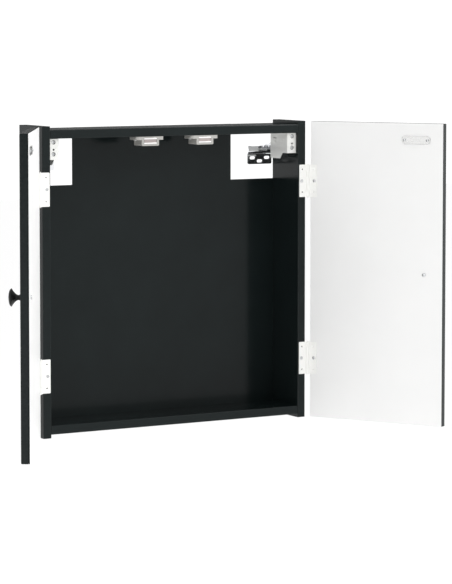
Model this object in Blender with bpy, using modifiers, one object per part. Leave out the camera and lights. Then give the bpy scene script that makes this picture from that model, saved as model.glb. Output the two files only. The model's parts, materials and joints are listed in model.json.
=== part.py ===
"""Two-door wall cabinet with mirrored doors, standing open.

Frame: +X to the right, +Y into the wall, +Z up.  The origin is the middle of
the back panel's rear face, which lies against the wall.  Metres throughout.
Every piece of the cabinet is its own object.  Each door and its fittings hang
on an empty that sits on that door's hinge axis.
"""
from math import cos, pi, radians, sin

import bmesh
import bpy
from mathutils import Matrix, Vector

# ---------------------------------------------------------------- cabinet box
WIDTH = 0.630                # over the outer faces of the side panels
HEIGHT = 0.640               # length of the side panels
CASE_DEPTH = 0.106           # side, top and bottom panels, front to back
BOARD = 0.018                # thickness of those panels
END_REVEAL = 0.0076          # side panels stand this far past top and bottom
BACK_SHEET = 0.003           # thin back panel, fixed on the rear edges
BACK_SIDE_MARGIN = 0.002     # back panel stops this far inside the side faces
NOTCH_WIDTH = 0.1053         # corner cut-out, from the side panel's inner face
NOTCH_HEIGHT = 0.1024        # corner cut-out, from the top panel's underside
EASE = 0.0008                # eased edges of the boards
SEAM = 0.0003                # gap kept between pieces that touch

# ---------------------------------------------------------------------- doors
MIDDLE_GAP = 0.006           # between the closed doors
DOOR_REVEAL = 0.001          # door is shorter than the side panel, each end
DOOR_BOARD = 0.0147          # black board with the mirror's recess
DOOR_LINER = 0.0026          # white-faced sheet on the inner side
RIM_WIDTH = 0.018            # black border around the mirror
MIRROR_THICKNESS = 0.004
MIRROR_SET_BACK = 0.0005     # glass lies this far below the border
MIRROR_BEVEL = 0.011         # width of the ground border of the glass
MIRROR_BEVEL_DROP = 0.0010
DOOR_EASE = 0.0013           # rounded outer edges of the door board
DOOR_OPEN = 120.3            # degrees, as the cabinet is shown

# --------------------------------------------------------------- door hinges
AXIS_OUT = 0.0054            # hinge axis, outside the side panel's face
HINGE_FROM_MIDDLE = 0.1913   # hinge centres above and below mid-height
LEAF_THICKNESS = 0.0012
LEAF_HEIGHT = 0.0695
LEAF_REACH = 0.0157          # leaf, inwards from the side panel's outer face
KNUCKLE_RADIUS = 0.0036
KNUCKLE_COUNT = 5
KNUCKLE_GAP = 0.0003
PIN_RADIUS = 0.0015
PIN_CLEARANCE = 0.00025
PIN_STAND_OUT = 0.0019       # rounded pin end past the leaf
LEAF_HOLE_SPACING = 0.0246
LEAF_HOLE_INSET = 0.0078     # outer holes, from the side panel's outer face
MIDDLE_HOLE_INSET = 0.0096   # middle hole sits further from the knuckle
LEAF_HOLE_RADIUS = 0.0017     # narrow end of the empty outer holes
LEAF_SINK_RADIUS = 0.0033     # their wide end

# -------------------------------------------------------------------- screws
SCREW_SHANK_RADIUS = 0.0016
SCREW_CLEARANCE = 0.0003
SMALL_HEAD_RADIUS = 0.0036
SMALL_HEAD_HEIGHT = 0.0018
SUNK_HEAD_RADIUS = 0.0038
SUNK_HEAD_CROWN = 0.00015
HINGE_SCREW_LENGTH = 0.0125
STRIKE_SCREW_LENGTH = 0.0085
CATCH_SCREW_LENGTH = 0.0150

# --------------------------------------------------------------------- knobs
KNOB_FROM_FREE_EDGE = 0.0423
KNOB_PROJECTION = 0.0257
KNOB_RIM_RADIUS = 0.0179
KNOB_RIM_HEIGHT = 0.0203     # rim above the face of the glass
KNOB_NECK_RADIUS = 0.0042
KNOB_NECK_HEIGHT = 0.0061
KNOB_BASE_RADIUS = 0.0082
KNOB_BORE_RADIUS = 0.0020
KNOB_BORE_DEPTH = 0.0120
KNOB_SCREW_GRIP = 0.0095     # screw length inside the knob
KNOB_SCREW_HEAD_RADIUS = 0.0043
KNOB_SCREW_HEAD_HEIGHT = 0.0024

# ---------------------------------------------------------- catch and strike
CATCH_FROM_MIDDLE = 0.0653
CATCH_WIDTH = 0.0406
CATCH_DEPTH = 0.035
CATCH_HEIGHT = 0.0191
EAR_LENGTH = 0.0126
EAR_THICKNESS = 0.0069
EAR_CORNER = 0.007
MAGNET_WIDTH = 0.0296
MAGNET_HEIGHT = 0.0120
MAGNET_DEPTH = 0.012
MAGNET_DROP = 0.0030         # magnet below the top panel
STRIKE_LENGTH = 0.0672
STRIKE_WIDTH = 0.0172
STRIKE_THICKNESS = 0.0010
STRIKE_DROP = 0.0107         # strike centre below the top panel's underside
STRIKE_SCREW_SPACING = 0.0532

# ------------------------------------------------------------ hanger bracket
HANGER_SET_BACK = 0.0072     # front plate behind the case's front edge
HANGER_WIDTH = 0.0233
HANGER_LENGTH = 0.0684
HANGER_HEIGHT = 0.0428
HANGER_SHEET = 0.0015
LOBE_LENGTH = 0.038          # deeper rear part of the inner side plate
LOBE_DROP = 0.0124
LOBE_SLOPE = 0.0105
ADJUSTER_SIDE = 0.0113       # screw centres from the side panel's inner face
HEIGHT_SCREW_DROP = 0.0069   # upper screw below the bracket's top
DEPTH_SCREW_DROP = 0.0313    # lower screw below the bracket's top
SIGHT_HOLE_DROP = 0.0221
SIGHT_HOLE_RADIUS = 0.0018
ADJUSTER_HEAD_RADIUS = 0.0038
ADJUSTER_HEAD_HEIGHT = 0.004
ADJUSTER_HOLE_RADIUS = 0.0044
ADJUSTER_SHANK_RADIUS = 0.0025
ADJUSTER_LENGTH = 0.030
HEAD_SET_BACK = 0.0010       # head face behind the front plate's face

# ---------------------------------------------------------- hook, wall plate
HOOK_TRAVEL = 0.003          # height adjustment, each way
HOOK_WIDTH = 0.0140
HOOK_TINE = 0.0030
HOOK_WEB = 0.0100
CLAW_THICKNESS = 0.0030
RAIL_CLEARANCE = 0.0006
PLATE_SHEET = 0.0018
PLATE_WIDTH = 0.061
PLATE_SIDE_GAP = 0.0017      # to the side panel's inner face
PLATE_TOP_DROP = 0.0307      # rail top below the top panel's underside
RAIL_HEIGHT = 0.0127
JOGGLE_HEIGHT = 0.0060
PLATE_LOWER_HEIGHT = 0.0214
RAIL_STAND_OFF = 0.0057      # free space behind the rail
PLATE_CORNER = 0.0035
SLOT_LENGTH = 0.0135
SLOT_WIDTH = 0.0068
SLOT_SPACING = 0.0363
UPPER_SLOT_DROP = 0.0076     # slot centres below the joggle
LOWER_SLOT_DROP = 0.0147

# ------------------------------------------------------------- derived places
# Closed, the two leaves lie between the case's front edge and the door, each
# with the standing gap on both of its faces.
DOOR_GAP = 2 * (LEAF_THICKNESS + 2 * SEAM)
CASE_REAR = -(BACK_SHEET + SEAM)
CASE_FRONT = CASE_REAR - CASE_DEPTH
SIDE_INNER = WIDTH / 2 - BOARD
TOP_FACE = HEIGHT / 2 - END_REVEAL
TOP_UNDERSIDE = TOP_FACE - BOARD
DOOR_WIDTH = (WIDTH - MIDDLE_GAP) / 2
DOOR_HALF_HEIGHT = HEIGHT / 2 - DOOR_REVEAL
AXIS_X = WIDTH / 2 + AXIS_OUT
AXIS_Y = CASE_FRONT - DOOR_GAP / 2
DOOR_INNER = -DOOR_GAP / 2               # closed door, seen from its axis
BOARD_INNER = DOOR_INNER - DOOR_LINER - SEAM
DOOR_OUTER = BOARD_INNER - DOOR_BOARD
MIRROR_FACE = DOOR_OUTER + MIRROR_SET_BACK
MIRROR_REAR = MIRROR_FACE + MIRROR_THICKNESS
DOOR_NEAR = -AXIS_OUT                    # hinge edge, along the door
DOOR_FAR = -(AXIS_OUT + DOOR_WIDTH)      # free edge, along the door
KNOB_ALONG = DOOR_FAR + KNOB_FROM_FREE_EDGE
STRIKE_ALONG = CATCH_FROM_MIDDLE - AXIS_X
STRIKE_Z = TOP_UNDERSIDE - STRIKE_DROP
CATCH_FRONT = CASE_FRONT - DOOR_GAP + STRIKE_THICKNESS + 2 * SEAM
HANGER_FRONT = CASE_FRONT + HANGER_SET_BACK
HANGER_TOP = TOP_UNDERSIDE - 2 * SEAM
PLATE_TOP = TOP_UNDERSIDE - PLATE_TOP_DROP
RAIL_FRONT = -(RAIL_STAND_OFF + PLATE_SHEET)
ROUND_STEPS = 16

PARTS = bpy.data.collections.new("medicine_cabinet")
CUTTERS = bpy.data.collections.new("cutters")


# ------------------------------------------------------------------- helpers
def clear_scene():
    """Start from an empty scene."""
    for old in list(bpy.data.objects):
        bpy.data.objects.remove(old, do_unlink=True)
    bpy.context.scene.collection.children.link(PARTS)
    bpy.context.scene.collection.children.link(CUTTERS)


def make_material(name, colour, roughness, metallic=0.0):
    """A Principled material with the piece's plain colour."""
    material = bpy.data.materials.new(name)
    material.use_nodes = True
    shader = material.node_tree.nodes["Principled BSDF"]
    shader.inputs["Base Color"].default_value = (*colour, 1.0)
    shader.inputs["Roughness"].default_value = roughness
    shader.inputs["Metallic"].default_value = metallic
    return material


def add_object(name, mesh, material=None, parent=None, matrix=None):
    """Link a mesh as a named piece, or as a cutter when it has no material."""
    piece = bpy.data.objects.new(name, mesh)
    if material is None:
        CUTTERS.objects.link(piece)
        piece.hide_render = True
        piece.display_type = "WIRE"
    else:
        PARTS.objects.link(piece)
        mesh.materials.append(material)
    if parent is not None:
        piece.parent = parent
    if matrix is not None:
        piece.matrix_local = matrix
    return piece


def box_mesh(name, low, high):
    """A box between two corners, given in either order."""
    low = Vector(low)
    high = Vector(high)
    size = high - low
    centre = (low + high) / 2
    scale = Matrix.Diagonal((abs(size.x), abs(size.y), abs(size.z), 1.0))
    shape = bmesh.new()
    bmesh.ops.create_cube(shape, size=1.0, matrix=Matrix.Translation(centre) @ scale)
    mesh = bpy.data.meshes.new(name)
    shape.to_mesh(mesh)
    shape.free()
    return mesh


def round_edges(mesh, radius, segments, wanted):
    """Round the edges whose two end points both satisfy wanted()."""
    shape = bmesh.new()
    shape.from_mesh(mesh)
    edges = [edge for edge in shape.edges if wanted(edge)]
    bmesh.ops.bevel(shape, geom=edges, offset=radius, segments=segments,
                    profile=0.5, affect="EDGES", clamp_overlap=True)
    shape.to_mesh(mesh)
    shape.free()


def board(name, low, high, material, parent=None, ease=EASE):
    """A flat board with lightly eased edges all round."""
    mesh = box_mesh(name, low, high)
    round_edges(mesh, ease, 2, lambda edge: True)
    return add_object(name, mesh, material, parent)


def arc(centre, radius, start, end, steps):
    """Points on an arc, angles in degrees."""
    points = []
    for step in range(steps + 1):
        angle = radians(start + (end - start) * step / steps)
        points.append((centre[0] + radius * cos(angle), centre[1] + radius * sin(angle)))
    return points


def stadium(centre, length, width, steps=6):
    """An outline with straight long sides and round ends."""
    half = (length - width) / 2
    right = arc((centre[0] + half, centre[1]), width / 2, -90, 90, steps)
    left = arc((centre[0] - half, centre[1]), width / 2, 90, 270, steps)
    return right + left


def circle(centre, radius, steps=12):
    """An outline of a round hole."""
    return arc(centre, radius, 0, 360, steps)[:-1]


def sheet_mesh(name, outlines, thickness, matrix):
    """A flat outline with holes, filled and given a thickness."""
    curve = bpy.data.curves.new(name, "CURVE")
    curve.dimensions = "2D"
    curve.fill_mode = "BOTH"
    curve.extrude = thickness / 2
    for outline in outlines:
        spline = curve.splines.new("POLY")
        spline.points.add(len(outline) - 1)
        for point, place in zip(spline.points, outline):
            point.co = (place[0], place[1], 0.0, 1.0)
        spline.use_cyclic_u = True
    guide = bpy.data.objects.new(name + "_outline", curve)
    CUTTERS.objects.link(guide)
    graph = bpy.context.evaluated_depsgraph_get()
    mesh = bpy.data.meshes.new_from_object(guide.evaluated_get(graph))
    bpy.data.objects.remove(guide, do_unlink=True)
    shape = bmesh.new()
    shape.from_mesh(mesh)
    bmesh.ops.remove_doubles(shape, verts=shape.verts, dist=0.00001)
    bmesh.ops.transform(shape, matrix=matrix, verts=shape.verts)
    bmesh.ops.recalc_face_normals(shape, faces=shape.faces)
    shape.to_mesh(mesh)
    shape.free()
    return mesh


def cone_mesh(name, start, direction, radius, end_radius, length, steps=ROUND_STEPS):
    """A round solid whose radius changes evenly along a direction."""
    direction = Vector(direction).normalized()
    middle = Vector(start) + direction * (length / 2)
    turn = direction.to_track_quat("Z", "Y").to_matrix().to_4x4()
    shape = bmesh.new()
    bmesh.ops.create_cone(shape, cap_ends=True, segments=steps, radius1=radius,
                          radius2=end_radius, depth=length,
                          matrix=Matrix.Translation(middle) @ turn)
    mesh = bpy.data.meshes.new(name)
    shape.to_mesh(mesh)
    shape.free()
    return mesh


def rod_mesh(name, start, direction, radius, length, steps=ROUND_STEPS):
    """A plain cylinder from a start point along a direction."""
    return cone_mesh(name, start, direction, radius, radius, length, steps)


def boolean(piece, other, operation="DIFFERENCE"):
    """Cut a piece with a cutter, or join a helper solid to it."""
    modifier = piece.modifiers.new(other.name, "BOOLEAN")
    modifier.operation = operation
    modifier.solver = "EXACT"
    modifier.object = other


def drill(piece, start, direction, radius, length, parent=None):
    """A round hole from just outside the start point to the given depth."""
    direction = Vector(direction).normalized()
    mouth = Vector(start) - direction * SEAM * 4
    mesh = rod_mesh("drill", mouth, direction, radius, length + SEAM * 4, 12)
    cutter = add_object(piece.name + "_drill", mesh, None, parent)
    boolean(piece, cutter)


def turned(name, profile, material, parent, place, direction, steps=ROUND_STEPS):
    """A turned piece: profile of (radius, height), top to bottom, height along direction."""
    mesh = bpy.data.meshes.new(name)
    points = [(radius, 0.0, height) for radius, height in profile]
    edges = [(index, index + 1) for index in range(len(points) - 1)]
    mesh.from_pydata(points, edges, [])
    turn = Vector(direction).normalized().to_track_quat("Z", "Y").to_matrix().to_4x4()
    piece = add_object(name, mesh, material, parent, Matrix.Translation(Vector(place)) @ turn)
    spin = piece.modifiers.new("spin", "SCREW")
    spin.steps = steps
    spin.render_steps = steps
    spin.use_merge_vertices = True
    spin.merge_threshold = 0.00001
    spin.use_smooth_shade = True
    return piece


def screw(name, head_place, into, head_radius, head_height, shank_radius, length,
          material, parent=None):
    """A pan-head screw: head_place is under the head, into points along the shank."""
    out = -Vector(into).normalized()
    crown = head_radius * 0.62
    profile = [
        (0.0, head_height),
        (crown, head_height * 0.92),
        (head_radius, head_height * 0.40),
        (head_radius, 0.0),
        (shank_radius, 0.0),
        (shank_radius, -length + shank_radius),
        (0.0, -length),
    ]
    return turned(name, profile, material, parent, head_place, out, 12)


def sunk_screw(name, place, into, length, material, parent, pieces):
    """A countersunk screw, flush at place, and its hole through the given pieces."""
    into = Vector(into).normalized()
    shank = SCREW_SHANK_RADIUS
    head = SUNK_HEAD_RADIUS
    profile = [(0.0, SUNK_HEAD_CROWN), (head * 0.6, SUNK_HEAD_CROWN * 0.8), (head, 0.0),
               (shank, shank - head), (shank, shank - length), (0.0, -length)]
    turned(name, profile, material, parent, place, -into, 16)
    lip = 0.0005
    narrow = shank + SCREW_CLEARANCE
    wide = head + SCREW_CLEARANCE * 1.5 + lip
    sink = cone_mesh("sink", Vector(place) - into * lip, into, wide, narrow, wide - narrow)
    cone = add_object(name + "_sink", sink, None, parent)
    hole = rod_mesh("hole", Vector(place), into, narrow, length + SEAM * 2, 12)
    rod = add_object(name + "_hole", hole, None, parent)
    for piece in pieces:
        boolean(piece, cone)
        boolean(piece, rod)


# ------------------------------------------------------------------ materials
def make_materials():
    """One material for each finish on the cabinet."""
    return {
        "black_board": make_material("black_board", (0.020, 0.023, 0.023), 0.45),
        "white_liner": make_material("white_liner", (0.86, 0.86, 0.85), 0.40),
        "mirror_glass": make_material("mirror_glass", (0.90, 0.92, 0.92), 0.02, 1.0),
        "black_knob": make_material("black_knob", (0.012, 0.012, 0.012), 0.35),
        "white_steel": make_material("white_steel", (0.82, 0.82, 0.80), 0.35),
        "screw_steel": make_material("screw_steel", (0.62, 0.62, 0.60), 0.30, 1.0),
        "catch_plastic": make_material("catch_plastic", (0.62, 0.63, 0.61), 0.45),
        "magnet": make_material("magnet", (0.66, 0.63, 0.62), 0.35, 1.0),
        "zinc_sheet": make_material("zinc_sheet", (0.66, 0.67, 0.66), 0.42, 1.0),
        "chrome_sheet": make_material("chrome_sheet", (0.80, 0.81, 0.82), 0.10, 1.0),
    }


# ----------------------------------------------------------------- the carcass
def build_case(finish):
    """Side panels, top, bottom and the notched back panel."""
    black = finish["black_board"]
    case = {}
    for side, word in ((-1, "left"), (1, "right")):
        low = (side * SIDE_INNER, CASE_FRONT, -HEIGHT / 2)
        high = (side * WIDTH / 2, CASE_REAR, HEIGHT / 2)
        case[word] = board(word + "_side_panel", low, high, black)
    reach = SIDE_INNER - SEAM
    case["top"] = board("top_panel", (-reach, CASE_FRONT, TOP_UNDERSIDE),
                        (reach, CASE_REAR, TOP_FACE), black)
    board("bottom_panel", (-reach, CASE_FRONT, -TOP_FACE),
          (reach, CASE_REAR, -TOP_UNDERSIDE), black)
    edge = WIDTH / 2 - BACK_SIDE_MARGIN
    notch_x = SIDE_INNER - NOTCH_WIDTH
    notch_z = TOP_UNDERSIDE - NOTCH_HEIGHT
    outline = [(-edge, -TOP_FACE), (edge, -TOP_FACE), (edge, notch_z), (notch_x, notch_z),
               (notch_x, TOP_FACE), (-notch_x, TOP_FACE), (-notch_x, notch_z), (-edge, notch_z)]
    stand_up = Matrix.Translation((0, -BACK_SHEET / 2, 0)) @ Matrix.Rotation(pi / 2, 4, "X")
    back = sheet_mesh("back_panel", [outline], BACK_SHEET, stand_up)
    add_object("back_panel", back, black)
    return case


# -------------------------------------------------------------------- hinges
def leaf_holes(side):
    """Places (x, z) of a leaf's upper, middle and lower hole from the hinge axis."""
    outer = -side * (AXIS_OUT + LEAF_HOLE_INSET)
    middle = -side * (AXIS_OUT + MIDDLE_HOLE_INSET)
    return (outer, LEAF_HOLE_SPACING), (middle, 0.0), (outer, -LEAF_HOLE_SPACING)


def hinge_leaf(name, side, face, own, spot, finish, parent):
    """One leaf: a plate, its share of the knuckles, the bore and two empty holes.

    face is +1 for the leaf on the case and -1 for the leaf on the door, own
    is 0 when the leaf has the even knuckles, and spot is the hinge's centre.
    """
    ox, oy, oz = spot
    low_z = oz - LEAF_HEIGHT / 2
    near = face * SEAM
    far = face * (SEAM + LEAF_THICKNESS)
    inner = -side * (AXIS_OUT + LEAF_REACH)
    mesh = box_mesh(name, (ox + inner, oy + near, low_z), (ox, oy + far, low_z + LEAF_HEIGHT))
    leaf = add_object(name, mesh, finish["white_steel"], parent)
    barrel = rod_mesh("barrel", (ox, oy, low_z), (0, 0, 1), KNUCKLE_RADIUS, LEAF_HEIGHT)
    boolean(leaf, add_object(name + "_barrel", barrel, None, parent), "UNION")
    bore = rod_mesh("bore", (ox, oy, low_z - LEAF_THICKNESS), (0, 0, 1),
                    PIN_RADIUS + PIN_CLEARANCE, LEAF_HEIGHT + 2 * LEAF_THICKNESS, 12)
    boolean(leaf, add_object(name + "_bore", bore, None, parent))
    pitch = LEAF_HEIGHT / KNUCKLE_COUNT
    reach = KNUCKLE_RADIUS + KNUCKLE_GAP
    for index in range(KNUCKLE_COUNT):
        if index % 2 == own:
            continue
        start = low_z + index * pitch - KNUCKLE_GAP / 2
        end = start + pitch + KNUCKLE_GAP
        if index == 0:
            start -= LEAF_THICKNESS
        if index == KNUCKLE_COUNT - 1:
            end += LEAF_THICKNESS
        mesh = box_mesh("notch", (ox - side * reach, oy - 2 * reach, start),
                        (ox + side * 2 * reach, oy + 2 * reach, end))
        boolean(leaf, add_object(f"{name}_notch_{index}", mesh, None, parent))
    slope = (LEAF_SINK_RADIUS - LEAF_HOLE_RADIUS) / LEAF_THICKNESS
    lip = SEAM / 2
    for number, (x, z) in enumerate(leaf_holes(side)):
        if number == 1:
            continue
        mesh = cone_mesh("hole", (ox + x, oy + near - face * lip, oz + z), (0, face, 0),
                         LEAF_SINK_RADIUS + lip * slope, LEAF_HOLE_RADIUS - lip * slope,
                         LEAF_THICKNESS + 2 * lip)
        boolean(leaf, add_object(f"{name}_hole_{number}", mesh, None, parent))
    return leaf


def build_hinge(side, word, level, centre_z, finish, axis, panel, door_pieces):
    """Both leaves, the pin and the middle screws of one butt hinge."""
    name = f"{word}_{level}_hinge"
    spot = (side * AXIS_X, AXIS_Y, centre_z)
    case_leaf = hinge_leaf(name + "_case_leaf", side, 1, 0, spot, finish, None)
    door_leaf = hinge_leaf(name + "_door_leaf", side, -1, 1, (0.0, 0.0, centre_z), finish, axis)
    half = LEAF_HEIGHT / 2 + PIN_STAND_OUT
    nose = PIN_RADIUS * 0.55
    profile = [(0.0, half), (nose, half - PIN_RADIUS * 0.2), (PIN_RADIUS, half - PIN_RADIUS),
               (PIN_RADIUS, PIN_RADIUS - half), (nose, PIN_RADIUS * 0.2 - half), (0.0, -half)]
    turned(name + "_pin", profile, finish["white_steel"], None, spot, (0, 0, 1), 12)
    x = leaf_holes(side)[1][0]
    sunk_screw(name + "_case_screw", (spot[0] + x, AXIS_Y + SEAM, centre_z), (0, 1, 0),
               HINGE_SCREW_LENGTH, finish["screw_steel"], None, (case_leaf, panel))
    sunk_screw(name + "_door_screw", (x, -SEAM, centre_z), (0, -1, 0),
               HINGE_SCREW_LENGTH, finish["screw_steel"], axis, (door_leaf, *door_pieces))


# --------------------------------------------------------------------- doors
def mirror_mesh(name, low, high):
    """Glass with a shallow ground border on its outer face."""
    mesh = box_mesh(name, low, high)
    shape = bmesh.new()
    shape.from_mesh(mesh)
    shape.faces.ensure_lookup_table()
    front = min(shape.faces, key=lambda face: face.calc_center_median().y)
    rim = list(front.verts)
    bmesh.ops.inset_region(shape, faces=[front], thickness=MIRROR_BEVEL)
    for vertex in rim:
        vertex.co.y += MIRROR_BEVEL_DROP
    shape.to_mesh(mesh)
    shape.free()
    return mesh


def build_door(side, word, finish):
    """Door board, mirror and white liner on the hinge axis's empty."""
    axis = bpy.data.objects.new(word + "_door_axis", None)
    PARTS.objects.link(axis)
    axis.location = (side * AXIS_X, AXIS_Y, 0.0)
    axis.rotation_euler = (0.0, 0.0, radians(side * DOOR_OPEN))
    near = side * DOOR_NEAR
    far = side * DOOR_FAR
    half = DOOR_HALF_HEIGHT
    mesh = box_mesh("board", (near, DOOR_OUTER, -half), (far, BOARD_INNER, half))
    round_edges(mesh, DOOR_EASE, 3,
                lambda edge: all(vertex.co.y < DOOR_OUTER + SEAM for vertex in edge.verts))
    door = add_object(word + "_door_board", mesh, finish["black_board"], axis)
    inset = RIM_WIDTH
    recess = box_mesh("recess", (near - side * inset, DOOR_OUTER - BOARD, -half + inset),
                      (far + side * inset, MIRROR_REAR + SEAM, half - inset))
    boolean(door, add_object(word + "_mirror_recess", recess, None, axis))
    gap = inset + SEAM
    glass = mirror_mesh("mirror", (near - side * gap, MIRROR_FACE, -half + gap),
                        (far + side * gap, MIRROR_REAR, half - gap))
    mirror = add_object(word + "_mirror", glass, finish["mirror_glass"], axis)
    liner = add_object(word + "_door_liner",
                       box_mesh("liner", (near, BOARD_INNER + SEAM, -half), (far, DOOR_INNER, half)),
                       finish["white_liner"], axis)
    return axis, door, mirror, liner


def build_knob(side, word, finish, axis, door, mirror, liner):
    """Turned knob on the glass, held by a screw from inside the door."""
    x = side * KNOB_ALONG
    waist = KNOB_NECK_HEIGHT
    rise = KNOB_RIM_HEIGHT - KNOB_NECK_HEIGHT
    swell = KNOB_RIM_RADIUS - KNOB_NECK_RADIUS
    profile = []
    for step in range(6):
        angle = step * pi / 2 / 5
        radius = (KNOB_RIM_RADIUS - 0.0005) * sin(angle)
        profile.append((radius, KNOB_RIM_HEIGHT + (KNOB_PROJECTION - KNOB_RIM_HEIGHT) * cos(angle)))
    for step in range(6):
        share = 1 - step / 5
        profile.append((KNOB_NECK_RADIUS + swell * share ** 1.75,
                        waist + rise * share - 0.0006 * share))
    for step in range(1, 4):
        share = step / 3
        profile.append((KNOB_NECK_RADIUS + (KNOB_BASE_RADIUS - KNOB_NECK_RADIUS) * share ** 1.6,
                        waist * (1 - share)))
    profile.append((KNOB_BORE_RADIUS, 0.0))
    profile.append((KNOB_BORE_RADIUS, KNOB_BORE_DEPTH))
    profile.append((0.0, KNOB_BORE_DEPTH + KNOB_BORE_RADIUS / 2))
    turned(word + "_knob", profile, finish["black_knob"], axis,
           (x, MIRROR_FACE - SEAM, 0.0), (0, -1, 0), 24)
    head = DOOR_INNER + SEAM
    length = head - (MIRROR_FACE - SEAM) + KNOB_SCREW_GRIP
    screw(word + "_knob_screw", (x, head, 0.0), (0, -1, 0), KNOB_SCREW_HEAD_RADIUS,
          KNOB_SCREW_HEAD_HEIGHT, SCREW_SHANK_RADIUS, length, finish["screw_steel"], axis)
    hole = SCREW_SHANK_RADIUS + SCREW_CLEARANCE
    for piece in (door, mirror, liner):
        drill(piece, (x, DOOR_INNER, 0.0), (0, -1, 0), hole, DOOR_BOARD + DOOR_LINER + BOARD, axis)


def build_strike(side, word, finish, axis, door, liner):
    """Steel strike plate near the top of the door's inner face."""
    x = side * STRIKE_ALONG
    half = STRIKE_SCREW_SPACING / 2
    hole = SCREW_SHANK_RADIUS + SCREW_CLEARANCE
    outlines = [stadium((0, 0), STRIKE_LENGTH, STRIKE_WIDTH), circle((-half, 0), hole),
                circle((half, 0), hole)]
    stand = Matrix.Rotation(pi / 2, 4, "X")
    middle = DOOR_INNER + SEAM + STRIKE_THICKNESS / 2
    mesh = sheet_mesh("strike", outlines, STRIKE_THICKNESS,
                      Matrix.Translation((x, middle, STRIKE_Z)) @ stand)
    add_object(word + "_strike_plate", mesh, finish["zinc_sheet"], axis)
    face = DOOR_INNER + 2 * SEAM + STRIKE_THICKNESS
    for end, place_word in ((-1, "inner"), (1, "outer")):
        place = (x - side * end * half, face, STRIKE_Z)
        screw(f"{word}_strike_{place_word}_screw", place, (0, -1, 0), SMALL_HEAD_RADIUS - SEAM,
              SMALL_HEAD_HEIGHT, SCREW_SHANK_RADIUS, STRIKE_SCREW_LENGTH,
              finish["screw_steel"], axis)
        for piece in (door, liner):
            drill(piece, (place[0], DOOR_INNER, STRIKE_Z), (0, -1, 0), hole,
                  STRIKE_SCREW_LENGTH, axis)


# -------------------------------------------------------------------- catches
def build_catch(side, word, finish, top):
    """Magnetic catch under the top panel, level with its strike plate."""
    x = side * CATCH_FROM_MIDDLE
    body = CATCH_WIDTH / 2
    ear = body + EAR_LENGTH
    ceiling = TOP_UNDERSIDE - SEAM
    rear = CATCH_FRONT + CATCH_DEPTH
    nose = EAR_CORNER
    outline = (arc((ear - nose, CATCH_FRONT + nose), nose, -90, 0, 4)
               + arc((ear - nose, rear - nose), nose, 0, 90, 4)
               + arc((nose - ear, rear - nose), nose, 90, 180, 4)
               + arc((nose - ear, CATCH_FRONT + nose), nose, 180, 270, 4))
    mesh = sheet_mesh("ears", [outline], EAR_THICKNESS,
                      Matrix.Translation((x, 0.0, ceiling - EAR_THICKNESS / 2)))
    housing = add_object(word + "_catch_housing", mesh, finish["catch_plastic"])
    body_mesh = box_mesh("body", (x - body, CATCH_FRONT, ceiling - CATCH_HEIGHT),
                         (x + body, rear, ceiling - EAR_THICKNESS / 2))
    boolean(housing, add_object(word + "_catch_body", body_mesh, None), "UNION")
    low = ceiling - MAGNET_DROP - MAGNET_HEIGHT
    high = ceiling - MAGNET_DROP
    half = MAGNET_WIDTH / 2
    pocket = box_mesh("pocket", (x - half - SEAM, CATCH_FRONT - SEAM, low - SEAM),
                      (x + half + SEAM, CATCH_FRONT + MAGNET_DEPTH + SEAM, high + SEAM))
    boolean(housing, add_object(word + "_catch_pocket", pocket, None))
    magnet = box_mesh("magnet", (x - half, CATCH_FRONT, low),
                      (x + half, CATCH_FRONT + MAGNET_DEPTH, high))
    add_object(word + "_catch_magnet", magnet, finish["magnet"])
    hole = SCREW_SHANK_RADIUS + SCREW_CLEARANCE
    middle_y = CATCH_FRONT + CATCH_DEPTH / 2
    for end, place_word in ((-1, "inner"), (1, "outer")):
        place = (x + side * end * (body + EAR_LENGTH / 2), middle_y, ceiling - EAR_THICKNESS - SEAM)
        screw(f"{word}_catch_{place_word}_screw", place, (0, 0, 1), SMALL_HEAD_RADIUS,
              SMALL_HEAD_HEIGHT, SCREW_SHANK_RADIUS, CATCH_SCREW_LENGTH, finish["screw_steel"])
        drill(housing, place, (0, 0, 1), hole, EAR_THICKNESS * 2)
        drill(top, (place[0], middle_y, TOP_UNDERSIDE), (0, 0, 1), hole, CATCH_SCREW_LENGTH)


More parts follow.
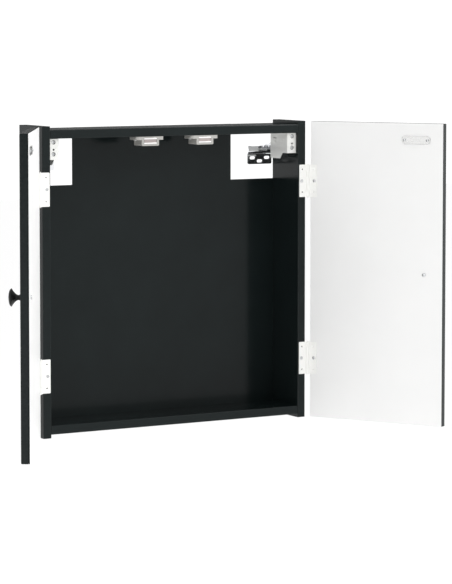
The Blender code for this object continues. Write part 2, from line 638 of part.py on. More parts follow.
# ------------------------------------------------------------ hanger brackets
def build_hanger(side, word, finish):
    """Bracket on the side panel with two adjusting screws in its front plate.

    Only the side plate that faces into the cabinet has the deeper lobe.
    """
    outer = side * (SIDE_INNER - SEAM)
    inner = side * (SIDE_INNER - SEAM - HANGER_WIDTH)
    rear = HANGER_FRONT + HANGER_LENGTH
    floor = HANGER_TOP - HANGER_HEIGHT
    lobe_floor = floor - LOBE_DROP
    lobe_front = rear - LOBE_LENGTH
    outline = [(HANGER_FRONT, floor), (lobe_front - LOBE_SLOPE, floor), (lobe_front, lobe_floor),
               (rear, lobe_floor), (rear, HANGER_TOP), (HANGER_FRONT, HANGER_TOP)]
    across = Matrix(((0, 0, 1, (outer + inner) / 2), (1, 0, 0, 0), (0, 1, 0, 0), (0, 0, 0, 1)))
    mesh = sheet_mesh("hanger", [outline], HANGER_WIDTH, across)
    hanger = add_object(word + "_hanger_housing", mesh, finish["zinc_sheet"])
    sheet = side * HANGER_SHEET
    channel = box_mesh("channel", (inner + sheet, HANGER_FRONT + HANGER_SHEET, lobe_floor - BOARD),
                       (outer - sheet, rear + BOARD, HANGER_TOP + BOARD))
    boolean(hanger, add_object(word + "_hanger_channel", channel, None))
    trim = box_mesh("trim", ((inner + outer) / 2, HANGER_FRONT - SEAM, lobe_floor - SEAM),
                    (outer + sheet, rear + SEAM, floor))
    boolean(hanger, add_object(word + "_hanger_trim", trim, None))
    x = side * (SIDE_INNER - ADJUSTER_SIDE)
    drill(hanger, (x, HANGER_FRONT, HANGER_TOP - SIGHT_HOLE_DROP), (0, 1, 0),
          SIGHT_HOLE_RADIUS, HANGER_SHEET * 2)
    for use, drop in (("height", HEIGHT_SCREW_DROP), ("depth", DEPTH_SCREW_DROP)):
        z = HANGER_TOP - drop
        drill(hanger, (x, HANGER_FRONT, z), (0, 1, 0), ADJUSTER_HOLE_RADIUS, HANGER_SHEET * 2)
        place = (x, HANGER_FRONT + HEAD_SET_BACK + ADJUSTER_HEAD_HEIGHT, z)
        screw(f"{word}_{use}_screw", place, (0, 1, 0), ADJUSTER_HEAD_RADIUS,
              ADJUSTER_HEAD_HEIGHT, ADJUSTER_SHANK_RADIUS, ADJUSTER_LENGTH,
              finish["screw_steel"])


def build_hook(side, word, finish):
    """Forked hook that reaches out of the bracket and over the wall plate's rail."""
    centre = side * (SIDE_INNER - SEAM - HANGER_WIDTH / 2)
    screw_tip = HANGER_FRONT + HEAD_SET_BACK + ADJUSTER_HEAD_HEIGHT + ADJUSTER_LENGTH
    front = screw_tip + SCREW_SHANK_RADIUS
    rail_gap_front = RAIL_FRONT - RAIL_CLEARANCE
    rail_gap_rear = -RAIL_STAND_OFF + RAIL_CLEARANCE
    claw_rear = rail_gap_rear + CLAW_THICKNESS
    bridge = PLATE_TOP + RAIL_CLEARANCE
    crown = bridge + CLAW_THICKNESS
    foot = PLATE_TOP - RAIL_HEIGHT * 0.6
    tail_top = HANGER_TOP - HANGER_HEIGHT * 0.30
    outline = [(front, foot), (rail_gap_front, foot), (rail_gap_front, bridge),
               (rail_gap_rear, bridge), (rail_gap_rear, foot), (claw_rear, foot),
               (claw_rear, crown), (rail_gap_front - HOOK_WEB, crown),
               (front + 2 * HOOK_WEB, tail_top), (front, tail_top)]
    across = Matrix(((0, 0, 1, centre), (1, 0, 0, 0), (0, 1, 0, 0), (0, 0, 0, 1)))
    mesh = sheet_mesh("hook", [outline], HOOK_WIDTH, across)
    hook = add_object(word + "_hook", mesh, finish["chrome_sheet"])
    half = HOOK_WIDTH / 2 - HOOK_TINE
    slot = box_mesh("slot", (centre - half, front + HOOK_WEB, foot - BOARD),
                    (centre + half, BOARD, tail_top + BOARD))
    boolean(hook, add_object(word + "_hook_slot", slot, None))


def build_wall_plate(side, word, finish):
    """Joggled plate screwed to the wall; its upper rail carries the hook."""
    far = side * (SIDE_INNER - PLATE_SIDE_GAP)
    centre = far - side * PLATE_WIDTH / 2
    rail_rear = -RAIL_STAND_OFF
    rail_floor = PLATE_TOP - RAIL_HEIGHT
    joint = rail_floor - JOGGLE_HEIGHT
    floor = joint - PLATE_LOWER_HEIGHT
    outline = [(0.0, floor), (0.0, joint), (rail_rear, rail_floor), (rail_rear, PLATE_TOP),
               (RAIL_FRONT, PLATE_TOP), (RAIL_FRONT, rail_floor - PLATE_SHEET / 3),
               (-PLATE_SHEET, joint - PLATE_SHEET / 3), (-PLATE_SHEET, floor)]
    across = Matrix(((0, 0, 1, centre), (1, 0, 0, 0), (0, 1, 0, 0), (0, 0, 0, 1)))
    mesh = sheet_mesh("wall_plate", [outline], PLATE_WIDTH, across)
    round_edges(mesh, PLATE_CORNER, 4,
                lambda edge: all(vertex.co.z < floor + SEAM for vertex in edge.verts)
                and abs(edge.verts[0].co.x - edge.verts[1].co.x) < SEAM)
    plate = add_object(word + "_wall_plate", mesh, finish["chrome_sheet"])
    stand = Matrix.Rotation(pi / 2, 4, "X")
    spots = ((-SLOT_SPACING / 2, UPPER_SLOT_DROP), (SLOT_SPACING / 2, UPPER_SLOT_DROP),
             (0.0, LOWER_SLOT_DROP))
    for number, (across_x, drop) in enumerate(spots):
        cut = sheet_mesh("slot", [stadium((0, 0), SLOT_LENGTH, SLOT_WIDTH)], BOARD,
                         Matrix.Translation((centre + across_x, 0.0, joint - drop)) @ stand)
        boolean(plate, add_object(f"{word}_wall_plate_slot_{number}", cut, None))


def build_cabinet():
    """Build every piece."""
    clear_scene()
    finish = make_materials()
    case = build_case(finish)
    for side, word in ((-1, "left"), (1, "right")):
        axis, door, mirror, liner = build_door(side, word, finish)
        for level, centre_z in (("upper", HINGE_FROM_MIDDLE), ("lower", -HINGE_FROM_MIDDLE)):
            build_hinge(side, word, level, centre_z, finish, axis, case[word], (door, liner))
        build_knob(side, word, finish, axis, door, mirror, liner)
        build_strike(side, word, finish, axis, door, liner)
        build_catch(side, word, finish, case["top"])
        build_hanger(side, word, finish)
        build_hook(side, word, finish)
        build_wall_plate(side, word, finish)


build_cabinet()
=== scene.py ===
# %% [markdown]
# # A black mirror cabinet with two doors
#
# The cabinet is five panels of laminated board, two mirrored doors on butt
# hinges, and a handful of small metal and plastic fittings.  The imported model
# gives every piece's true size and place, so each cell measures that model
# and builds a finer piece in the same space.

# %% Load the measured cabinet
import json
import math

import bmesh
import bpy
from mathutils import Matrix, Vector


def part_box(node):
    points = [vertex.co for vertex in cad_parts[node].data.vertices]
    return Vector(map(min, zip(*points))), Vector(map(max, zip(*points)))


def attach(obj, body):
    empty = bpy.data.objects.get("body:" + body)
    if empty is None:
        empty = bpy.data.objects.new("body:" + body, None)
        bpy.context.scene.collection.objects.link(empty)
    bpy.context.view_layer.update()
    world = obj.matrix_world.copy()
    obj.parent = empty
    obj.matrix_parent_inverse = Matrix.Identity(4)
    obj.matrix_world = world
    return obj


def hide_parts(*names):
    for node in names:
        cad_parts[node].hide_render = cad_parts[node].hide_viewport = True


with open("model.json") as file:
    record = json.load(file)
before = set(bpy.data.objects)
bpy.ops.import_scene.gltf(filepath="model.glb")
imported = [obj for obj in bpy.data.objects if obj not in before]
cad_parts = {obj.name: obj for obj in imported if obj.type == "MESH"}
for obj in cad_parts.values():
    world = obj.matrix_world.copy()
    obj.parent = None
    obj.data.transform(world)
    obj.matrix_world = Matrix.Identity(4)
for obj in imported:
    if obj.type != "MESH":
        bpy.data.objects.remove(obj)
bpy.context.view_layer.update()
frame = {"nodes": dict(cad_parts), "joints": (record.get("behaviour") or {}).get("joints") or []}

# %% [markdown]
# ## Measuring
#
# A door stands open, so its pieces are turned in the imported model.  Modelling
# on a slant is awkward.  Every door piece is therefore measured and built with
# the door shut, where its faces line up with X, Y and Z, and swung open when
# it is finished.

# %% Hinge axis and a ruler for shut doors
hinge = next(j for j in frame["joints"] if j["name"] == "right_door_hinge")
HINGE_X, HINGE_Y = hinge["pos_m"][0], hinge["pos_m"][1]
OPENING = -math.radians(hinge["range_deg"][0])


def shut_box(node):
    """Corners of a right door's piece, measured with the door shut."""
    pivot = Vector((HINGE_X, HINGE_Y, 0.0))
    turn = Matrix.Rotation(-OPENING, 3, "Z")
    points = [pivot + turn @ (v.co - pivot) for v in frame["nodes"][node].data.vertices]
    low = Vector([min(p[i] for p in points) for i in range(3)])
    high = Vector([max(p[i] for p in points) for i in range(3)])
    return low, high


print("door opens by", round(math.degrees(OPENING), 1), "degrees about x", HINGE_X)

# %% [markdown]
# ## Bench tools
#
# Operators act on whatever is selected, so a script has to choose its faces
# and edges by where they are.  These few helpers add a block, pick
# parts of it by a rule, cut it, and round it.  They are the hand tools for the
# rest of the lesson.

# %% Blocks, rods and picking by rule
def take(piece):
    """Leave edit mode and make this the only selected object."""
    if bpy.context.object is not None and bpy.context.object.mode != "OBJECT":
        bpy.ops.object.mode_set(mode="OBJECT")
    bpy.ops.object.select_all(action="DESELECT")
    if piece is not None:
        piece.select_set(True)
        bpy.context.view_layer.objects.active = piece


def block(name, low, high):
    """A box between two corners, the usual start of a piece."""
    take(None)
    low, high = Vector(low), Vector(high)
    bpy.ops.mesh.primitive_cube_add(size=1.0, location=(low + high) / 2)
    piece = bpy.context.object
    piece.name = name
    piece.scale = high - low
    bpy.ops.object.transform_apply(location=True, rotation=True, scale=True)
    return piece


def rod(name, start, end, radius, end_radius=None, sides=32):
    """A round bar or a cone between two points."""
    take(None)
    start, end = Vector(start), Vector(end)
    bpy.ops.mesh.primitive_cone_add(vertices=sides, radius1=radius,
                                    radius2=radius if end_radius is None else end_radius,
                                    depth=(end - start).length, location=(start + end) / 2)
    piece = bpy.context.object
    piece.name = name
    piece.rotation_mode = "QUATERNION"
    piece.rotation_quaternion = (end - start).to_track_quat("Z", "Y")
    bpy.ops.object.transform_apply(location=True, rotation=True, scale=True)
    return piece


def pick(piece, kind, rule):
    """Enter edit mode with only the VERT, EDGE or FACE items that pass a rule."""
    take(piece)
    bpy.ops.object.mode_set(mode="EDIT")
    bpy.ops.mesh.select_mode(type=kind)
    bpy.ops.mesh.select_all(action="DESELECT")
    mesh = bmesh.from_edit_mesh(piece.data)
    mesh.normal_update()
    items = {"VERT": mesh.verts, "EDGE": mesh.edges, "FACE": mesh.faces}[kind]
    count = 0
    for item in items:
        if rule(item):
            item.select_set(True)
            count += 1
    mesh.select_flush_mode()
    bmesh.update_edit_mesh(piece.data)
    return count


def faces_towards(direction, limit=0.99):
    """A rule for the faces whose outside looks along a direction."""
    direction = Vector(direction).normalized()
    return lambda face: face.normal.dot(direction) > limit


def edges_along(axis, near=None, reach=0.0004):
    """A rule for straight edges along X, Y or Z, if wanted only those near a place."""
    def rule(edge):
        run = edge.verts[1].co - edge.verts[0].co
        if abs(run[axis]) < 0.999 * run.length:
            return False
        if near is None:
            return True
        middle = (edge.verts[0].co + edge.verts[1].co) / 2
        return all(abs(middle[i] - v) < reach for i, v in near.items())
    return rule


def round_off(piece, rule, radius, segments=4):
    """Bevel the edges that pass a rule."""
    if pick(piece, "EDGE", rule):
        bpy.ops.mesh.bevel(offset=radius, segments=segments, profile=0.5, affect="EDGES")
    take(piece)


# %% Cutting, joining, softening and mirroring
def combine(piece, other, operation="DIFFERENCE"):
    """Cut the other solid out of a piece, or weld it on, and throw it away."""
    take(piece)
    step = piece.modifiers.new("combine", "BOOLEAN")
    step.operation = operation
    step.solver = "EXACT"
    step.object = other
    bpy.ops.object.modifier_apply(modifier=step.name)
    bpy.data.objects.remove(other, do_unlink=True)
    return piece


def soften(piece, width, segments=2, angle=35.0):
    """Break every sharp edge by a hair, as a press or a sander leaves it."""
    take(piece)
    step = piece.modifiers.new("soften", "BEVEL")
    step.width = width
    step.segments = segments
    step.limit_method = "ANGLE"
    step.angle_limit = math.radians(angle)
    step.harden_normals = False
    bpy.ops.object.modifier_apply(modifier=step.name)
    return piece


def smooth(piece, angle=32.0):
    """Shade round faces smooth and large flat ones flat, so no flat looks dented."""
    take(piece)
    bpy.ops.object.shade_smooth_by_angle(angle=math.radians(angle))
    points = piece.data.vertices
    for face in piece.data.polygons:
        corners = [points[i].co for i in face.vertices]
        shortest = min((a - b).length for a, b in zip(corners, corners[1:] + corners[:1]))
        if face.area > 0.000004 and (len(corners) > 4 or shortest > 0.0015):
            face.use_smooth = False
    return piece


def merge_parts(pieces):
    """Join several solids into one object."""
    take(pieces[0])
    for piece in pieces[1:]:
        piece.select_set(True)
    bpy.ops.object.join()
    return pieces[0]


def tidy_mesh(piece):
    """Close seams and turn every face outwards."""
    take(piece)
    bpy.ops.object.mode_set(mode="EDIT")
    bpy.ops.mesh.select_all(action="SELECT")
    bpy.ops.mesh.remove_doubles(threshold=0.000005)
    bpy.ops.mesh.normals_make_consistent(inside=False)
    take(piece)
    return piece


def copied(piece, name, shift=(0.0, 0.0, 0.0)):
    """A copy with its own mesh, moved by a distance."""
    other = piece.copy()
    other.data = piece.data.copy()
    other.name = name
    bpy.context.scene.collection.objects.link(other)
    other.data.transform(Matrix.Translation(Vector(shift)))
    return other


def mirrored(piece, name):
    """The left-hand twin of a right-hand piece, turned the right way out again."""
    other = copied(piece, name)
    other.data.transform(Matrix.Diagonal((-1.0, 1.0, 1.0, 1.0)))
    take(other)
    bpy.ops.object.mode_set(mode="EDIT")
    bpy.ops.mesh.select_all(action="SELECT")
    bpy.ops.mesh.flip_normals()
    take(other)
    return other


def swing_open(piece, side):
    """Swing a finished door piece about its hinge to where the door stands."""
    pivot = Matrix.Translation((side * HINGE_X, HINGE_Y, 0.0))
    turn = Matrix.Rotation(side * OPENING, 4, "Z")
    piece.data.transform(pivot @ turn @ pivot.inverted())
    return piece


# %% [markdown]
# ## Finishes
#
# Each finish is one function that wires a Principled shader to noise read in
# Object coordinates.  A large slow noise shifts the tone, a finer one breaks
# up the gloss, and the finest gives the surface its grain through Bump.
# Painted textures would need unwrapping and would stretch over the bevels.

# %% One recipe for every finish
BOARD_AND_PAINT_IOR = 1.45
# The third patch size sets the speckle of the painted edge highlight.
TONE_PATCH, GLOSS_PATCH, HIGHLIGHT_PATCH = 0.09, 0.03, 0.004


def finish(name, colour, roughness, metal=0.0, tone=0.06, gloss=0.06, grain_size=0.0006,
           grain_depth=0.00002, stretch=(1.0, 1.0, 1.0), specular=0.5, highlight_lift=0.0):
    """A material whose tone, gloss and grain vary over the piece."""
    material = bpy.data.materials.new(name)
    material.use_nodes = True
    nodes, links = material.node_tree.nodes, material.node_tree.links
    shader = nodes["Principled BSDF"]
    shader.inputs["Metallic"].default_value = metal
    shader.inputs["Specular IOR Level"].default_value = specular
    shader.inputs["IOR"].default_value = BOARD_AND_PAINT_IOR
    place = nodes.new("ShaderNodeTexCoord")
    stretched = nodes.new("ShaderNodeMapping")
    stretched.inputs["Scale"].default_value = stretch
    links.new(place.outputs["Object"], stretched.inputs["Vector"])

    def noise(size, detail):
        texture = nodes.new("ShaderNodeTexNoise")
        texture.inputs["Scale"].default_value = 1.0 / size
        texture.inputs["Detail"].default_value = detail
        links.new(stretched.outputs["Vector"], texture.inputs["Vector"])
        return texture.outputs["Fac"]

    def spread(source, low, high):
        ramp = nodes.new("ShaderNodeMapRange")
        ramp.inputs["From Min"].default_value = 0.3
        ramp.inputs["From Max"].default_value = 0.7
        ramp.inputs["To Min"].default_value = low
        ramp.inputs["To Max"].default_value = high
        links.new(source, ramp.inputs["Value"])
        return ramp.outputs["Result"]

    shade = nodes.new("ShaderNodeMixRGB")
    shade.inputs["Color1"].default_value = (*[c * (1.0 - tone) for c in colour], 1.0)
    shade.inputs["Color2"].default_value = (*[min(c * (1.0 + tone), 1.0) for c in colour], 1.0)
    links.new(spread(noise(TONE_PATCH, 4.0), 0.0, 1.0), shade.inputs["Fac"])
    colour_out = shade.outputs["Color"]
    # Points marked on the rounded edges get a lighter, speckled tone: a painted highlight along
    # the edges.
    if highlight_lift:
        highlight_attribute = nodes.new("ShaderNodeAttribute")
        highlight_attribute.attribute_name = "edge_wear"
        speck = nodes.new("ShaderNodeMath")
        speck.operation = "MULTIPLY"
        links.new(highlight_attribute.outputs["Fac"], speck.inputs[0])
        links.new(spread(noise(HIGHLIGHT_PATCH, 3.0), 0.2, 1.0), speck.inputs[1])
        highlight_mix = nodes.new("ShaderNodeMixRGB")
        highlight_mix.inputs["Color2"].default_value = (*[c + highlight_lift for c in colour], 1.0)
        links.new(colour_out, highlight_mix.inputs["Color1"])
        links.new(speck.outputs["Value"], highlight_mix.inputs["Fac"])
        colour_out = highlight_mix.outputs["Color"]
    links.new(colour_out, shader.inputs["Base Color"])
    links.new(spread(noise(GLOSS_PATCH, 3.0), max(roughness - gloss, 0.01), roughness + gloss),
              shader.inputs["Roughness"])
    bump = nodes.new("ShaderNodeBump")
    bump.inputs["Strength"].default_value = 0.6
    bump.inputs["Distance"].default_value = grain_depth
    links.new(noise(grain_size, 3.0), bump.inputs["Height"])
    links.new(bump.outputs["Normal"], shader.inputs["Normal"])
    return material


# %% [markdown]
# The black board is a melamine foil: very dark, faintly green, satin, with a
# fine orange peel.  The hinges are bright white-plated steel, the catch is
# grey moulded plastic and the hangers are zinc sheet with a rolling direction,
# which the stretched noise gives.

# %% The cabinet's finishes
FINISHES = {
    # The black foil is lifted a little on its rounded edges: a painted edge highlight.
    "black_foil": finish("black_foil", (0.0078, 0.0116, 0.0118), 0.17, tone=0.10, gloss=0.03,
                         grain_size=0.0011, grain_depth=0.000012, specular=0.19,
                         highlight_lift=0.008),
    "white_foil": finish("white_foil", (0.872, 0.872, 0.867), 0.42, tone=0.010, gloss=0.05,
                         grain_size=0.0009, grain_depth=0.00001),
    "silvered_glass": finish("silvered_glass", (0.90, 0.92, 0.915), 0.018, metal=1.0,
                             tone=0.006, gloss=0.008, grain_size=0.05, grain_depth=0.0),
    "glass_edge": finish("glass_edge", (0.19, 0.30, 0.26), 0.22, tone=0.12, gloss=0.08,
                         grain_size=0.0005, grain_depth=0.00001),
    "knob_lacquer": finish("knob_lacquer", (0.0068, 0.0068, 0.0068), 0.34, tone=0.15,
                           gloss=0.07, grain_size=0.0009, grain_depth=0.00002,
                           specular=0.22),
    "hinge_plate": finish("hinge_plate", (0.93, 0.93, 0.905), 0.36, metal=0.15, tone=0.02,
                          gloss=0.05, grain_size=0.0008, grain_depth=0.000003),
    "screw_zinc": finish("screw_zinc", (0.66, 0.67, 0.68), 0.27, metal=1.0, tone=0.08,
                         gloss=0.08, grain_size=0.0004, grain_depth=0.00001),
    "strike_steel": finish("strike_steel", (0.60, 0.60, 0.595), 0.26, tone=0.03, gloss=0.05,
                           metal=1.0, grain_size=0.0005, grain_depth=0.000003,
                           stretch=(1.0, 1.0, 6.0)),
    "catch_plastic": finish("catch_plastic", (0.385, 0.379, 0.36), 0.40, tone=0.05, gloss=0.07,
                            grain_size=0.0007, grain_depth=0.00003),
    "pole_steel": finish("pole_steel", (0.92, 0.91, 0.90), 0.30, metal=0.7, tone=0.03,
                         gloss=0.05, grain_size=0.0006, grain_depth=0.00001),
    "ferrite": finish("ferrite", (0.36, 0.31, 0.30), 0.5, tone=0.10, gloss=0.08,
                      grain_size=0.0005, grain_depth=0.00003),
    # A near-black ring round each adjusting screw's head stands in for the shadow in the gap
    # between head and hole: painted shadow.
    "dark_collar": finish("dark_collar", (0.016, 0.017, 0.018), 0.45, tone=0.15,
                          gloss=0.08, grain_size=0.0004, grain_depth=0.00001),
    "zinc_sheet": finish("zinc_sheet", (0.81, 0.815, 0.79), 0.38, metal=0.45, tone=0.03,
                         gloss=0.05, grain_size=0.0012, grain_depth=0.000006,
                         stretch=(1.0, 1.0, 5.0)),
    "chrome_sheet": finish("chrome_sheet", (0.80, 0.81, 0.83), 0.07, metal=1.0, tone=0.03,
                           gloss=0.04, grain_size=0.002, grain_depth=0.00001),
}
print("finishes:", ", ".join(FINISHES))

# %% [markdown]
# A finished piece needs its finish and the body that it moves with, and the
# imported piece that it stands for must be hidden.  One helper does all three,
# so none is forgotten.

# %% Handing a piece over
def hand_over(piece, body, finishes, stands_for=()):
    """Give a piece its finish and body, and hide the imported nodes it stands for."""
    last = len(finishes) - 1
    numbers = [min(face.material_index, last) for face in piece.data.polygons]
    piece.data.materials.clear()
    for name in finishes:
        piece.data.materials.append(FINISHES[name])
    for face, number in zip(piece.data.polygons, numbers):
        face.material_index = number
    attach(piece, body)
    if stands_for:
        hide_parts(*stands_for)
    return piece


def hand_over_pair(piece, part, finishes, body=None, on_door=False, replace=True):
    """Make the left twin of a right-hand piece and hand both over."""
    piece.name = "fine_right_" + part
    twin = mirrored(piece, "fine_left_" + part)
    for side, word, item in ((1, "right", piece), (-1, "left", twin)):
        if on_door:
            swing_open(item, side)
        where = body or ("{}_door" if on_door else "cabinet_case")
        hand_over(item, where.format(word), finishes,
                  [f"{word}_{part}"] if replace else ())
    return piece, twin


# %% [markdown]
# ## The case
#
# Each panel starts as a block.  Its edges get the small radius that edge
# banding is trimmed to, and every flat gets a narrow border loop, so that the
# painted edge highlight falls away within about a millimetre of the edge and
# does not fade across the whole board.

# %% Panels with trimmed edges
EDGE_RADIUS = 0.0009
BORDER = 0.0011


def panel(name, low, high, radius=EDGE_RADIUS):
    """A laminated board with rounded edges and a painted highlight along them."""
    piece = block(name, low, high)
    round_off(piece, lambda edge: True, radius, 3)
    shortest = min(Vector(high) - Vector(low))
    flat = shortest - 2.5 * radius
    pick(piece, "FACE", lambda face: min(side.calc_length() for side in face.edges) > flat)
    bpy.ops.mesh.inset(thickness=min(BORDER, shortest / 4), depth=0.0, use_individual=True)
    take(piece)
    mark_edge_highlight(piece, low, high, radius)
    return smooth(piece)


def mark_edge_highlight(piece, low, high, radius):
    """Store the painted edge highlight at each point: full on the rounded edges, none on the
    flats.
    """
    layer = piece.data.attributes.new("edge_wear", "FLOAT", "POINT")
    for point in piece.data.vertices:
        near = sorted(min(point.co[i] - low[i], high[i] - point.co[i]) for i in range(3))
        layer.data[point.index].value = 1.0 if near[1] < radius * 1.2 else 0.0


for word in ("left_side_panel", "right_side_panel", "top_panel", "bottom_panel"):
    made = panel("fine_" + word, *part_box(word))
    hand_over(made, "cabinet_case", ["black_foil"], [word])
    print(made.name, len(made.data.polygons), "faces")

# %% [markdown]
# The back is a thin sheet with its upper corners cut away, so the hangers can
# reach the wall.  Cutting two blocks out of a plain sheet keeps the corners as
# square as a saw leaves them.

# %% Back panel and its corner cut-outs
back_low, back_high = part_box("back_panel")
notch_side = max(v.co.x for v in frame["nodes"]["back_panel"].data.vertices
                 if v.co.z > back_high.z - 0.001)
notch_floor = max(v.co.z for v in frame["nodes"]["back_panel"].data.vertices
                  if v.co.x > back_high.x - 0.001)
back = block("fine_back_panel", back_low, back_high)
for side in (-1, 1):
    saw = block("saw", (min(side * notch_side, side * 0.4), back_low.y - 0.01, notch_floor),
                (max(side * notch_side, side * 0.4), back_high.y + 0.01, back_high.z + 0.01))
    combine(back, saw)
soften(back, 0.0003, 2)
smooth(back)
hand_over(back, "cabinet_case", ["black_foil"], ["back_panel"])
print("cut-outs start at x", round(notch_side, 4), "and z", round(notch_floor, 4))

# %% [markdown]
# ## The doors
#
# A door is a black board with a shallow tray for the mirror, and a white-faced
# sheet on its inner side.  Inset and extrude cut the tray as a router would,
# and leave clean quads around it for the rounding.

# %% Door board with the mirror's tray
board_low, board_high = shut_box("right_door_board")
glass_low, glass_high = shut_box("right_mirror")
TRAY_LIP = 0.0006
RIM_RADIUS_OUT = 0.0024
TRAY_GAP = 0.0003
# How far from the door's faces the painted edge highlight reaches.
HIGHLIGHT_REACH = 0.0014
door = block("door_board", board_low, board_high)
pick(door, "FACE", faces_towards((0, -1, 0)))
bpy.ops.mesh.inset(thickness=glass_low.x - board_low.x - TRAY_GAP, depth=0.0)
tray_depth = glass_high.y + TRAY_GAP - board_low.y
bpy.ops.mesh.extrude_region_move(TRANSFORM_OT_translate={"value": (0.0, tray_depth, 0.0)})
take(door)


def rim_edge(outer):
    """A rule for the edges of the rim's front: the outer ring or the inner one."""
    def rule(edge):
        if any(v.co.y > board_low.y + 0.0001 for v in edge.verts):
            return False
        on_side = all(min(abs(v.co.x - board_low.x), abs(v.co.x - board_high.x)) < 0.0001
                      for v in edge.verts)
        on_end = all(abs(abs(v.co.z) - board_high.z) < 0.0001 for v in edge.verts)
        return (on_side or on_end) == outer and any(
            abs(edge.verts[0].co[i] - edge.verts[1].co[i]) < 0.0001 for i in (0, 2))
    return rule


round_off(door, rim_edge(False), TRAY_LIP, 3)
round_off(door, rim_edge(True), RIM_RADIUS_OUT, 5)
pick(door, "FACE", lambda face: min(side.calc_length() for side in face.edges) > 0.012)
bpy.ops.mesh.inset(thickness=BORDER, depth=0.0, use_individual=True)
take(door)
# The rim's rounded edges carry the painted edge highlight as well.
mark_edge_highlight(door, board_low, board_high, HIGHLIGHT_REACH)
smooth(door)
hand_over_pair(door, "door_board", ["black_foil"], on_door=True)
print("tray", round(tray_depth * 1000, 2), "mm deep")

# %% [markdown]
# The mirror is 4 mm glass with a ground border.  The block is made a little
# thin, and an inset with depth raises the middle of its face, which leaves the
# sloping border.  The silvering is the whole front; only the sides show glass.

# %% Bevelled mirror
BORDER_WIDTH = 0.011
BORDER_FALL = 0.0010
glass = block("mirror", (glass_low.x, glass_low.y + BORDER_FALL, glass_low.z), glass_high)
pick(glass, "FACE", faces_towards((0, -1, 0)))
bpy.ops.mesh.inset(thickness=BORDER_WIDTH, depth=BORDER_FALL)
take(glass)
for face in glass.data.polygons:
    face.material_index = 0 if face.normal.y < -0.5 else 1
hand_over_pair(glass, "mirror", ["silvered_glass", "glass_edge"], on_door=True)
print("ground border", BORDER_WIDTH * 1000, "mm wide")

# %% [markdown]
# The inner sheet is white on its face and black on its edges.  Two material
# slots do that: the faces are sorted by which way they look.

# %% White inner sheet with black edges
liner_low, liner_high = shut_box("right_door_liner")
liner = block("door_liner", liner_low, liner_high)
soften(liner, 0.00035, 2)
for face in liner.data.polygons:
    face.material_index = 0 if face.normal.y > 0.9 else 1
smooth(liner)
hand_over_pair(liner, "door_liner", ["white_foil", "black_foil"], on_door=True)
print("inner sheet", round((liner_high.y - liner_low.y) * 1000, 2), "mm thick")

# %% [markdown]
# ## Turned pieces
#
# Knobs, pins and screws are round, so each is half an outline spun about its
# axis.  The outline is a short list of points along arcs, because the eye
# follows a silhouette more closely than anything else on a small part.

# %% A lathe
def lathe(name, outline, steps=48):
    """Spin an outline of (radius, height) about Z into a closed solid."""
    mesh = bpy.data.meshes.new(name)
    mesh.from_pydata([(r, 0.0, h) for r, h in outline],
                     [(i, i + 1) for i in range(len(outline) - 1)], [])
    piece = bpy.data.objects.new(name, mesh)
    bpy.context.scene.collection.objects.link(piece)
    take(piece)
    bpy.ops.object.mode_set(mode="EDIT")
    bpy.ops.mesh.select_all(action="SELECT")
    bpy.ops.mesh.spin(steps=steps, angle=math.tau, center=(0, 0, 0), axis=(0, 0, 1))
    take(piece)
    return smooth(tidy_mesh(piece), 40)


def stand(piece, at, out):
    """Turn a piece made along Z to look along a direction, at a place."""
    turn = Vector(out).normalized().to_track_quat("Z", "Y").to_matrix().to_4x4()
    piece.data.transform(Matrix.Translation(Vector(at)) @ turn)
    return piece


# %% [markdown]
# The knob is a mushroom: a flared foot, a narrow neck, a wide thin rim and a
# low dome.  Arcs give the dome and the rim, and a power curve gives the
# flowing hollow between neck and rim.

# %% Knob
knob_low, knob_high = shut_box("right_knob")
knob_x = (knob_low.x + knob_high.x) / 2
RIM_HEIGHT, RIM_RADIUS, RIM_EDGE = 0.0203, (knob_high.x - knob_low.x) / 2 - 0.0001, 0.0006
NECK_HEIGHT, NECK_RADIUS, FOOT_RADIUS = 0.0061, 0.0050, 0.0082
top = knob_high.y - knob_low.y
outline = []
for step in range(15):
    angle = math.radians(90) * step / 14
    outline.append(((RIM_RADIUS - RIM_EDGE) * math.sin(angle),
                    RIM_HEIGHT + (top - RIM_HEIGHT) * math.cos(angle)))
for step in range(1, 6):
    angle = math.radians(90 - 180 * step / 6)
    outline.append((RIM_RADIUS - RIM_EDGE + RIM_EDGE * math.cos(angle),
                    RIM_HEIGHT - RIM_EDGE + RIM_EDGE * math.sin(angle)))
for step in range(1, 17):
    share = 1 - step / 16
    outline.append((NECK_RADIUS + (RIM_RADIUS - RIM_EDGE - NECK_RADIUS) * share ** 1.75,
                    NECK_HEIGHT + (RIM_HEIGHT - 2 * RIM_EDGE - NECK_HEIGHT) * share))
for step in range(1, 9):
    share = step / 8
    outline.append((NECK_RADIUS + (FOOT_RADIUS - NECK_RADIUS) * share ** 1.6,
                    NECK_HEIGHT * (1 - share)))
outline.append((0.0, 0.0))
knob = stand(lathe("knob", outline, 64), (knob_x, knob_high.y, 0.0), (0, -1, 0))
hand_over_pair(knob, "knob", ["knob_lacquer"], on_door=True)
print("knob", round(RIM_RADIUS * 2000, 1), "mm across,", round(top * 1000, 1), "mm tall")

# %% [markdown]
# Two kinds of screw hold the fittings: flat countersunk heads in the hinges,
# and low pan heads elsewhere.  Both have a cross recess, cut with two thin
# tapered blocks.  Each size is made once on the bench and then copied out.

# %% Screws on the bench
SHANK = 0.0016
PAN_HEAD, KNOB_HEAD = 0.0018, 0.0024


def cross_recess(piece, top_z, reach, depth):
    """Cut a cross for the driver into a head whose top is at top_z."""
    arm = reach * 0.22
    for turn in (0, 1):
        size = (reach, arm) if turn == 0 else (arm, reach)
        tool = block("driver", (-size[0], -size[1], top_z - depth),
                     (size[0], size[1], top_z + depth))
        pick(tool, "FACE", faces_towards((0, 0, -1)))
        bpy.ops.transform.resize(value=(0.55, 0.55, 1.0), center_override=(0, 0, top_z))
        take(tool)
        combine(piece, tool)
    return smooth(piece, 40)


